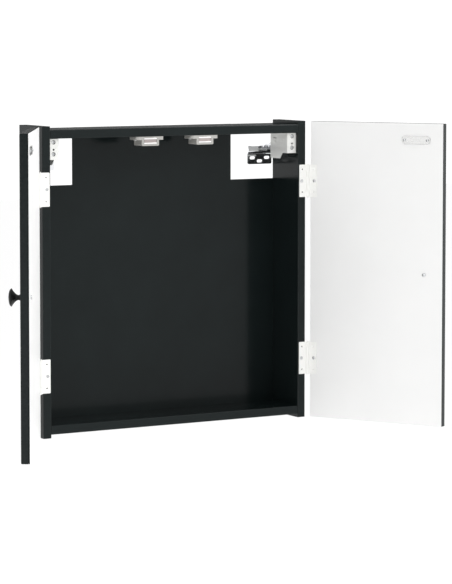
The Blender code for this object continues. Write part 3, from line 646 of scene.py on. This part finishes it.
def pan_screw(name, head_radius, head_height, shank_radius, length):
    """A low domed head on a plain shank with a point."""
    dome = []
    for step in range(7):
        angle = math.radians(90) * step / 6
        dome.append((head_radius * math.sin(angle),
                     head_height * (0.35 + 0.65 * math.cos(angle))))
    shape = dome + [(head_radius, 0.0), (shank_radius, 0.0),
                    (shank_radius, shank_radius * 2 - length), (0.0, -length)]
    piece = lathe(name, shape, 32)
    return cross_recess(piece, head_height, head_radius * 0.62, head_height * 0.65)


def sunk_screw(name, head_radius, crown, shank_radius, length):
    """A flat head with a slight crown on a cone and a plain shank."""
    shape = [(0.0, crown), (head_radius * 0.5, crown * 0.85), (head_radius * 0.9, crown * 0.25),
             (head_radius, 0.0), (head_radius, -0.0002),
             (shank_radius, shank_radius - head_radius), (shank_radius, shank_radius * 2 - length),
             (0.0, -length)]
    piece = lathe(name, shape, 32)
    return cross_recess(piece, crown, head_radius * 0.60, 0.0011)


def screw_pair(template, part, at, out, on_door=False, body=None):
    """Copy a bench screw to its place on the right, and its twin to the left."""
    piece = stand(copied(template, part), at, out)
    return hand_over_pair(piece, part, ["screw_zinc"], body=body,
                          on_door=on_door)


# %% [markdown]
# ## Hinges
#
# A butt hinge is two leaves rolled round one pin.  Five knuckles share the
# barrel, three for one leaf and two for the other.  Each leaf is a plate with
# its rolls welded on, then bored, drilled and softened.

# %% One leaf
KNUCKLES = 5
CASE_FIRST = 0
KNUCKLE_SLIT = 0.00025
LEAF_CORNER = 0.0016
PIN_RADIUS = 0.0015


def hinge_leaf(name, low, high, plate_y, own):
    """A leaf from its box: plate_y are the plate's faces, own its first knuckle."""
    plate = block(name, (low.x, plate_y[0], low.z), (HINGE_X, plate_y[1], high.z))
    round_off(plate, edges_along(1, {0: low.x}), LEAF_CORNER, 5)
    radius = (high.y - low.y) / 2
    pitch = (high.z - low.z) / KNUCKLES
    for index in range(KNUCKLES):
        if index % 2 != own:
            gap = block("gap", (HINGE_X - radius - KNUCKLE_SLIT, HINGE_Y - 2 * radius,
                                low.z + index * pitch - (0.001 if index == 0 else KNUCKLE_SLIT)),
                        (HINGE_X + 2 * radius, HINGE_Y + 2 * radius, low.z + (index + 1) * pitch
                         + (0.001 if index == KNUCKLES - 1 else KNUCKLE_SLIT)))
            combine(plate, gap)
    for index in range(own, KNUCKLES, 2):
        start = low.z + index * pitch + (KNUCKLE_SLIT if index else 0.0)
        end = low.z + (index + 1) * pitch - (KNUCKLE_SLIT if index < KNUCKLES - 1 else 0.0)
        roll = rod("roll", (HINGE_X, HINGE_Y, start), (HINGE_X, HINGE_Y, end), radius, sides=40)
        combine(plate, roll, "UNION")
    bore = rod("bore", (HINGE_X, HINGE_Y, low.z - 0.01), (HINGE_X, HINGE_Y, high.z + 0.01),
               PIN_RADIUS + 0.0001, sides=24)
    combine(plate, bore)
    return plate


# %% Both leaves of the upper hinge
case_low, case_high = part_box("right_upper_hinge_case_leaf")
door_low, door_high = shut_box("right_upper_hinge_door_leaf")
middle_z = (case_low.z + case_high.z) / 2
LEAF_PLAY = 0.0003
LEAF_SHEET = 0.0012
HOLE_SPACING = 0.0246
OUTER_HOLE = 0.0132
MIDDLE_HOLE = 0.0150
SINK_WIDE, SINK_NARROW = 0.0033, 0.0009
MIDDLE_WIDE, MIDDLE_NARROW = 0.0044, 0.0026


def drill_leaf(leaf, side_y):
    """Two countersunk holes and the wider one under the middle screw's head."""
    near, far = HINGE_Y + side_y * LEAF_PLAY, HINGE_Y + side_y * (LEAF_PLAY + LEAF_SHEET)
    over = side_y * 0.0002
    for shift in (-HOLE_SPACING, HOLE_SPACING):
        x = HINGE_X - OUTER_HOLE
        cone = rod("sink", (x, near - over, middle_z + shift), (x, far + over, middle_z + shift),
                   SINK_WIDE, SINK_NARROW, sides=32)
        combine(leaf, cone)
    x = HINGE_X - MIDDLE_HOLE
    cone = rod("sink", (x, near - over, middle_z), (x, far + over, middle_z),
               MIDDLE_WIDE, MIDDLE_NARROW, sides=32)
    combine(leaf, cone)
    soften(leaf, 0.00018, 2, 40)
    return smooth(leaf, 20)


case_leaf = hinge_leaf("case_leaf", case_low, case_high,
                       (HINGE_Y + LEAF_PLAY, HINGE_Y + LEAF_PLAY + LEAF_SHEET), CASE_FIRST)
drill_leaf(case_leaf, 1)
door_leaf = hinge_leaf("door_leaf", door_low, door_high,
                       (HINGE_Y - LEAF_PLAY - LEAF_SHEET, HINGE_Y - LEAF_PLAY), 1 - CASE_FIRST)
drill_leaf(door_leaf, -1)
print("leaves", len(case_leaf.data.polygons), "and", len(door_leaf.data.polygons), "faces")

# %% Pins with domed ends, and the middle screws
pin_low, pin_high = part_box("right_upper_hinge_pin")
half = (pin_high.z - pin_low.z) / 2
dome = []
for step in range(7):
    angle = math.radians(15 * step)
    dome.append((PIN_RADIUS * math.sin(angle), half - PIN_RADIUS * (1 - math.cos(angle))))
pin = lathe("pin", dome + [(r, -h) for r, h in reversed(dome)], 24)
bench_sunk = sunk_screw("bench_sunk", 0.0035, 0.00015, SHANK, 0.0125)

for level in ("upper", "lower"):
    low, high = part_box(f"right_{level}_hinge_case_leaf")
    shift = (0.0, 0.0, (low.z + high.z) / 2 - middle_z)
    part = f"{level}_hinge_"
    hand_over_pair(copied(case_leaf, "leaf", shift), part + "case_leaf",
                   ["hinge_plate"])
    hand_over_pair(copied(door_leaf, "leaf", shift), part + "door_leaf",
                   ["hinge_plate"], on_door=True)
    spot = Vector((HINGE_X, HINGE_Y, middle_z)) + Vector(shift)
    hand_over_pair(stand(copied(pin, "pin"), spot, (0, 0, 1)), part + "pin",
                   ["hinge_plate"])
    for part_word, side_y, on_door in (("case_screw", 1, False), ("door_screw", -1, True)):
        at = (HINGE_X - MIDDLE_HOLE, HINGE_Y + side_y * LEAF_PLAY, spot.z)
        screw_pair(bench_sunk, part + part_word, at, (0, -side_y, 0), on_door=on_door)
for bench in (case_leaf, door_leaf, pin, bench_sunk):
    bpy.data.objects.remove(bench, do_unlink=True)
print("four hinges hung")

# %% [markdown]
# ## Strike plates
#
# The magnet pulls on a thin steel plate near the top of each door.  It is a
# strip with fully rounded ends: a block whose end edges are bevelled by half
# its height until they meet.

# %% Strike plate and its screws
strike_low, strike_high = shut_box("right_strike_plate")
strike = block("strike_plate", strike_low, strike_high)
round_off(strike, edges_along(1), (strike_high.z - strike_low.z) / 2 - 0.0001, 12)
strike_z = (strike_low.z + strike_high.z) / 2
soften(strike, 0.00025, 2)
smooth(strike)
hand_over_pair(strike, "strike_plate", ["strike_steel"], on_door=True)
bench_pan = pan_screw("bench_pan", 0.0033, PAN_HEAD, SHANK, 0.0085)
for word in ("inner", "outer"):
    low, high = shut_box(f"right_strike_{word}_screw")
    at = ((low.x + high.x) / 2, high.y - PAN_HEAD, strike_z)
    screw_pair(bench_pan, f"strike_{word}_screw", at, (0, 1, 0), on_door=True)
print("strike plate", round((strike_high.x - strike_low.x) * 1000, 1), "mm long")

# %% Knob screws, seen from inside
low, high = shut_box("right_knob_screw")
bench_knob = pan_screw("bench_knob", 0.0043, KNOB_HEAD, SHANK, high.y - low.y - KNOB_HEAD)
screw_pair(bench_knob, "knob_screw", (knob_x, high.y - KNOB_HEAD, 0.0), (0, 1, 0),
           on_door=True)
for bench in (bench_pan, bench_knob):
    bpy.data.objects.remove(bench, do_unlink=True)

# %% [markdown]
# ## Magnetic catches
#
# A catch is a grey plastic box with an ear on each side.  Moulded plastic has
# no sharp edges, shallow pockets that save material, and a window through
# which two steel pole pieces show with the magnet between them.

# %% Catch housing
catch_low, catch_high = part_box("right_catch_housing")
magnet_low, magnet_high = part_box("right_catch_magnet")
EAR_LENGTH, EAR_THICKNESS, EAR_CORNER = 0.0126, 0.0069, 0.007
ears = block("ears", (catch_low.x, catch_low.y, catch_high.z - EAR_THICKNESS), catch_high)
round_off(ears, edges_along(2), EAR_CORNER, 8)
body = block("body", (catch_low.x + EAR_LENGTH, catch_low.y, catch_low.z),
             (catch_high.x - EAR_LENGTH, catch_high.y, catch_high.z - EAR_THICKNESS / 2))
round_off(body, lambda edge: edges_along(1)(edge) and edge.verts[0].co.z < catch_low.z + 0.001,
          0.0026, 5)
round_off(body, edges_along(2), 0.0010, 3)
combine(ears, body, "UNION")
for side in (-1, 1):
    wall = catch_high.x - EAR_LENGTH if side > 0 else catch_low.x + EAR_LENGTH
    pocket = block("pocket", (wall - 0.0010, catch_low.y + 0.0045, catch_low.z + 0.0042),
                   (wall + 0.0010, catch_high.y - 0.0045, catch_high.z - EAR_THICKNESS - 0.0008))
    combine(ears, pocket)
    slot_x = wall + side * EAR_LENGTH * 0.5
    middle_y = (catch_low.y + catch_high.y) / 2
    slot = block("slot", (slot_x - 0.0019, middle_y - 0.0042, catch_low.z),
                 (slot_x + 0.0019, middle_y + 0.0042, catch_high.z + 0.001))
    round_off(slot, edges_along(2), 0.00185, 6)
    combine(ears, slot)
window = block("window", (magnet_low.x - 0.0003, catch_low.y - 0.001, magnet_low.z - 0.0003),
               (magnet_high.x + 0.0003, magnet_high.y + 0.0003, magnet_high.z + 0.0003))
combine(ears, window)
soften(ears, 0.0003, 2, 40)
smooth(ears, 20)
hand_over_pair(ears, "catch_housing", ["catch_plastic"])
print("catch", [round((catch_high[i] - catch_low[i]) * 1000, 1) for i in range(3)], "mm")

# %% Pole pieces with the magnet between
POLE = 0.0026
POLE_STEP = 0.0006
poles = [block("pole", (magnet_low.x, magnet_low.y, z), (magnet_high.x, magnet_high.y, z + POLE))
         for z in (magnet_low.z, magnet_high.z - POLE)]
for pole in poles:
    soften(pole, 0.0002, 2)
core = block("core", (magnet_low.x + POLE_STEP, magnet_low.y + POLE_STEP, magnet_low.z + POLE),
             (magnet_high.x - POLE_STEP, magnet_high.y, magnet_high.z - POLE))
soften(core, 0.0002, 2)
for piece in (*poles, core):
    piece.data.materials.append(FINISHES["pole_steel"])
    piece.data.materials.append(FINISHES["ferrite"])
for face in core.data.polygons:
    face.material_index = 1
magnet = merge_parts([poles[0], poles[1], core])
smooth(magnet)
hand_over_pair(magnet, "catch_magnet", ["pole_steel", "ferrite"])

# %% Catch screws, seen from below
low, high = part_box("right_catch_inner_screw")
bench_catch = pan_screw("bench_catch", 0.0036, PAN_HEAD, SHANK, high.z - low.z - PAN_HEAD)
for word in ("inner", "outer"):
    low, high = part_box(f"right_catch_{word}_screw")
    at = ((low.x + high.x) / 2, (low.y + high.y) / 2, low.z + PAN_HEAD)
    screw_pair(bench_catch, f"catch_{word}_screw", at, (0, 0, -1))
bpy.data.objects.remove(bench_catch, do_unlink=True)

# %% [markdown]
# ## Hanger brackets
#
# A hanger is sheet steel folded into a channel: a front plate with two
# adjusting screws behind it and two side plates.  The one that faces into the
# cabinet grows deeper at the rear.  A block with its lower corners cut away
# and its inside milled out gives the folded shape with true wall thickness.
# Pressed bosses and a rib are then raised on the deeper plate.

# %% Folded channel
hanger_low, hanger_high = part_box("right_hanger_housing")
SHEET = 0.0015
FRONT_HEIGHT = 0.0428
LOBE = 0.038
LOBE_SLOPE = 0.0105
floor_z = hanger_high.z - FRONT_HEIGHT
lobe_y = hanger_high.y - LOBE
hanger = block("hanger", hanger_low, hanger_high)
step = block("step", (hanger_low.x - 0.01, hanger_low.y - 0.02, hanger_low.z - 0.02),
             (hanger_high.x + 0.01, lobe_y, floor_z))
slope = floor_z - hanger_low.z
pick(step, "VERT", lambda v: v.co.y > lobe_y - 0.0001 and v.co.z > floor_z - 0.0001)
bpy.ops.transform.translate(value=(0.0, -LOBE_SLOPE, 0.0))
take(step)
pick(step, "VERT", lambda v: v.co.y > lobe_y - 0.0001 and v.co.z < floor_z - 0.0001)
bpy.ops.transform.translate(value=(0.0, LOBE_SLOPE * (0.02 / slope), 0.0))
take(step)
combine(hanger, step)
trim = block("trim", ((hanger_low.x + hanger_high.x) / 2, hanger_low.y - 0.01,
                      hanger_low.z - 0.01), (hanger_high.x + 0.01, hanger_high.y + 0.01, floor_z))
combine(hanger, trim)
mill = block("mill", (hanger_low.x + SHEET, hanger_low.y + SHEET, hanger_low.z - 0.02),
             (hanger_high.x - SHEET, hanger_high.y + 0.02, hanger_high.z + 0.02))
round_off(mill, edges_along(2), 0.0008, 3)
combine(hanger, mill)
round_off(hanger, edges_along(2, {1: hanger_low.y}), 0.0016, 4)
print("channel", len(hanger.data.polygons), "faces")

# %% Holes, bosses and the rib
screw_boxes = {use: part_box(f"right_{use}_screw") for use in ("height", "depth")}
screw_x = sum(b.x for b in screw_boxes["height"]) / 2
HOLE_RADIUS = 0.0044
for use, (low, high) in screw_boxes.items():
    z = (low.z + high.z) / 2
    combine(hanger, rod("hole", (screw_x, hanger_low.y - 0.002, z),
                        (screw_x, hanger_low.y + 0.004, z), HOLE_RADIUS, sides=40))
SIGHT_DROP, SIGHT_RADIUS = 0.0221, 0.0021
sight_z = hanger_high.z - SIGHT_DROP
combine(hanger, rod("hole", (screw_x, hanger_low.y - 0.002, sight_z),
                    (screw_x, hanger_low.y + 0.004, sight_z), SIGHT_RADIUS, sides=28))
soften(hanger, 0.0002, 2, 40)
# each boss: run from the front, drop from the top, length, height, rise
BOSSES = ((0.0510, 0.0158, 0.0145, 0.0115, 0.0020), (0.0258, 0.0168, 0.0018, 0.0060, 0.0005),
          (0.0157, 0.0168, 0.0018, 0.0060, 0.0005))
for run, drop, long, tall, rise in BOSSES:
    spot = Vector((hanger_low.x, hanger_low.y + run, hanger_high.z - drop))
    boss = block("boss", spot + Vector((-rise, -long / 2, -tall / 2)),
                 spot + Vector((SHEET / 2, long / 2, tall / 2)))
    pick(boss, "FACE", faces_towards((-1, 0, 0)))
    bpy.ops.transform.resize(value=(1.0, 0.45, 0.80), center_override=spot)
    take(boss)
    soften(boss, rise * 0.15, 2, 20)
    combine(hanger, boss, "UNION")
rib = block("rib", (hanger_low.x - 0.0004, lobe_y + 0.004, hanger_low.z + 0.0070),
            (hanger_low.x + 0.0004, hanger_high.y - 0.004, hanger_low.z + 0.0084))
round_off(rib, edges_along(0), 0.0006, 3)
combine(hanger, rib, "UNION")
smooth(hanger, 20)
hand_over_pair(hanger, "hanger_housing", ["zinc_sheet"])
print("hanger", len(hanger.data.polygons), "faces")

# %% Adjusting screws with their cross recess
# Behind each head sits a near-black ring a little wider than the head. It is painted shadow for
# the gap round the head.
HEAD_PLAY, SHADOW_RING_PLAY = 0.0004, 0.0002
HEAD_STEP, SHADOW_RING_END = 0.0008, 0.0040
CREST, ROOT, PITCH, TURNS = 0.0025, 0.0021, 0.0010, 24
for use, (low, high) in screw_boxes.items():
    radius = (high.x - low.x) / 2 - HEAD_PLAY
    shadow_ring = HOLE_RADIUS - SHADOW_RING_PLAY
    outline = [(0.0, 0.0), (radius - 0.0005, 0.0), (radius, -0.0005), (radius, -HEAD_STEP),
               (shadow_ring, -HEAD_STEP), (shadow_ring, -SHADOW_RING_END), (CREST, -SHADOW_RING_END)]
    for turn in range(TURNS):
        z = -0.0046 - PITCH * turn
        outline += [(CREST, z), (ROOT, z - PITCH / 2)]
    outline += [(ROOT, -0.0335), (0.0, low.y - high.y)]
    screw = lathe(f"{use}_screw", outline, 32)
    cross_recess(screw, 0.0, radius * 0.80, 0.0024)
    # The head's side, its step and the ring behind it take the near-black finish: painted shadow
    # in the hole round the head.
    for face in screw.data.polygons:
        place = face.center
        rim = math.hypot(place.x, place.y)
        face.material_index = 1 if -0.0041 < place.z < -0.0006 and rim > radius - 0.0006 else 0
    at = (screw_x, low.y, (low.z + high.z) / 2)
    stand(screw, at, (0, -1, 0))
    riding = "{}_" + use + "_adjuster"
    hand_over_pair(screw, f"{use}_screw", ["screw_zinc", "dark_collar"],
                   body=riding)
    print(use, "screw at z", round(at[2], 4))

# %% [markdown]
# ## Wall plates
#
# The plate is screwed to the wall through slots and its upper lip, the rail,
# stands off the wall so a hook can drop behind it.  The sheet is grown by
# extruding: the flat, the slanting joggle, then the rail.

# %% Joggled plate with slots
plate_low, plate_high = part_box("right_wall_plate")
PLATE_SHEET = 0.0018
RAIL_HEIGHT, JOGGLE_HEIGHT = 0.0127, 0.0060
joint_z = plate_high.z - RAIL_HEIGHT - JOGGLE_HEIGHT
stand_off = plate_high.y - plate_low.y - PLATE_SHEET
plate = block("wall_plate", (plate_low.x, plate_high.y - PLATE_SHEET, plate_low.z),
              (plate_high.x, plate_high.y, joint_z))
for move in ((0.0, -stand_off, JOGGLE_HEIGHT), (0.0, 0.0, RAIL_HEIGHT)):
    pick(plate, "FACE", lambda face: face.normal.z > 0.9)
    bpy.ops.mesh.extrude_region_move(TRANSFORM_OT_translate={"value": move})
    take(plate)
round_off(plate, edges_along(1, {2: plate_low.z}), 0.0035, 5)
round_off(plate, lambda edge: edges_along(0)(edge) and
          plate_low.z + 0.001 < edge.verts[0].co.z < plate_high.z - 0.001, 0.0011, 4)
SLOT_LONG, SLOT_TALL, SLOT_SPACING = 0.0135, 0.0068, 0.0363
middle_x = (plate_low.x + plate_high.x) / 2
upper_slot, lower_slot = joint_z - 0.0076, joint_z - 0.0147
for run, z in ((-SLOT_SPACING / 2, upper_slot), (SLOT_SPACING / 2, upper_slot),
               (0.0, lower_slot)):
    x = middle_x + run
    slot = block("slot", (x - SLOT_LONG / 2, plate_low.y - 0.01, z - SLOT_TALL / 2),
                 (x + SLOT_LONG / 2, plate_high.y + 0.01, z + SLOT_TALL / 2))
    round_off(slot, edges_along(1), SLOT_TALL / 2 - 0.00005, 10)
    combine(plate, slot)
NOTCH_WIDE, NOTCH_DEEP, NOTCH_RUNS = 0.0026, 0.0034, (0.0367, 0.0467)
for x in (plate_low.x + run for run in NOTCH_RUNS):
    notch = block("notch", (x - NOTCH_WIDE / 2, plate_low.y - 0.01, plate_high.z - NOTCH_DEEP),
                  (x + NOTCH_WIDE / 2, plate_high.y + 0.01, plate_high.z + 0.01))
    combine(plate, notch)
shoulder = block("shoulder", (plate_low.x + 0.0062, plate_low.y - 0.01, plate_high.z - 0.0009),
                 (plate_low.x + 0.0290, plate_high.y + 0.01, plate_high.z + 0.01))
combine(plate, shoulder)
soften(plate, 0.0002, 2, 40)
smooth(plate, 24)
hand_over_pair(plate, "wall_plate", ["chrome_sheet"],
               body="{}_hook_and_plate")
print("plate", round((plate_high.x - plate_low.x) * 1000, 1), "mm wide")

# %% [markdown]
# The hook is a forked strap whose claw drops behind the rail.  Its outline is
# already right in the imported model, so it only needs the rounding that
# stamping and plating leave on real edges.

# %% Hooks
for word in ("right", "left"):
    source = frame["nodes"][word + "_hook"]
    hook = bpy.data.objects.new(f"fine_{word}_hook", source.data.copy())
    bpy.context.scene.collection.objects.link(hook)
    tidy_mesh(hook)
    soften(hook, 0.0005, 3, 40)
    smooth(hook, 24)
    hand_over(hook, word + "_hook_and_plate", ["chrome_sheet"],
              [word + "_hook"])
print("hooks done")

# %% [markdown]
# ## Studio
#
# The cabinet hangs clear of everything, so the floor is a pale plane well
# below it.  A white surround gives the satin black its even grey sheen.  It is
# dimmed in two places that the black boards would mirror too brightly: above
# the horizon behind the cabinet, and around the viewer.  Two soft boxes, a
# strong one high on the right and a weak one on the left, light the doors.

# %% Floor and surround
bpy.ops.mesh.primitive_plane_add(size=40.0, location=(0.0, 0.0, -1.3))
floor = bpy.context.object
floor.name = "studio_floor"
pale = bpy.data.materials.new("studio_white")
pale.use_nodes = True
matt = pale.node_tree.nodes["Principled BSDF"].inputs
matt["Base Color"].default_value = (0.98, 0.98, 0.98, 1)
matt["Roughness"].default_value = 0.9
matt["Specular IOR Level"].default_value = 0.1
floor.data.materials.append(pale)

world = bpy.data.worlds.new("studio")
bpy.context.scene.world = world
world.use_nodes = True
nodes, links = world.node_tree.nodes, world.node_tree.links
sky = nodes["Background"]
sky.inputs["Strength"].default_value = 1.12
look = nodes.new("ShaderNodeTexCoord")


def share(way, low, high):
    """How far a direction leans towards a way, from 0 at low to 1 at high."""
    lean = nodes.new("ShaderNodeVectorMath")
    lean.operation = "DOT_PRODUCT"
    lean.inputs[1].default_value = Vector(way).normalized()
    links.new(look.outputs["Generated"], lean.inputs[0])
    step = nodes.new("ShaderNodeMapRange")
    step.interpolation_type = "SMOOTHSTEP"
    step.inputs["From Min"].default_value = low
    step.inputs["From Max"].default_value = high
    links.new(lean.outputs["Value"], step.inputs["Value"])
    return step.outputs["Result"]


def both(first, second, operation="MULTIPLY"):
    """Combine two shares."""
    node = nodes.new("ShaderNodeMath")
    node.operation = operation
    for number, value in enumerate((first, second)):
        if isinstance(value, float):
            node.inputs[number].default_value = value
        else:
            links.new(value, node.inputs[number])
    return node.outputs["Value"]


behind = both(share((0, 0, 1), 0.006, 0.03), share((0, 0, -1), -0.55, -0.25))
behind = both(behind, share((0, 1, 0), 0.0, 0.35))
viewer = share((-0.48, -0.87, 0.08), 0.86, 0.985)
dim = both(both(behind, 0.90), both(viewer, 0.85), "MAXIMUM")
level = both(1.0, dim, "SUBTRACT")
links.new(level, sky.inputs["Color"])

# %% Lights
LAMP_SIZE = 1.6


def soft_light(name, spot, aim, power):
    """A square soft box that looks at a point."""
    data = bpy.data.lights.new(name, "AREA")
    data.shape = "SQUARE"
    data.size = LAMP_SIZE
    data.energy = power
    light = bpy.data.objects.new(name, data)
    bpy.context.scene.collection.objects.link(light)
    light.location = spot
    way = Vector(aim) - Vector(spot)
    light.rotation_euler = way.to_track_quat("-Z", "Y").to_euler()


soft_light("right_fill", (3.0, -1.6, 1.9), (-0.4, -0.2, 0), 84.0)
soft_light("left_fill", (-3.9, -1.5, 1.2), (0.4, -0.2, 0), 20.0)

# %% Camera
view = bpy.data.cameras.new("view")
view.lens = 167.966
view.shift_x = 0.0231
view.shift_y = -0.10
camera = bpy.data.objects.new("view", view)
bpy.context.scene.collection.objects.link(camera)
camera.location = (-2.79067, -5.06267, 0.53701)
camera.rotation_euler = (math.radians(90.0 - 4.4994), 0.0, math.radians(-30.1328))
view.clip_end = 200.0
bpy.context.scene.camera = camera
bpy.context.scene.view_settings.view_transform = "Standard"
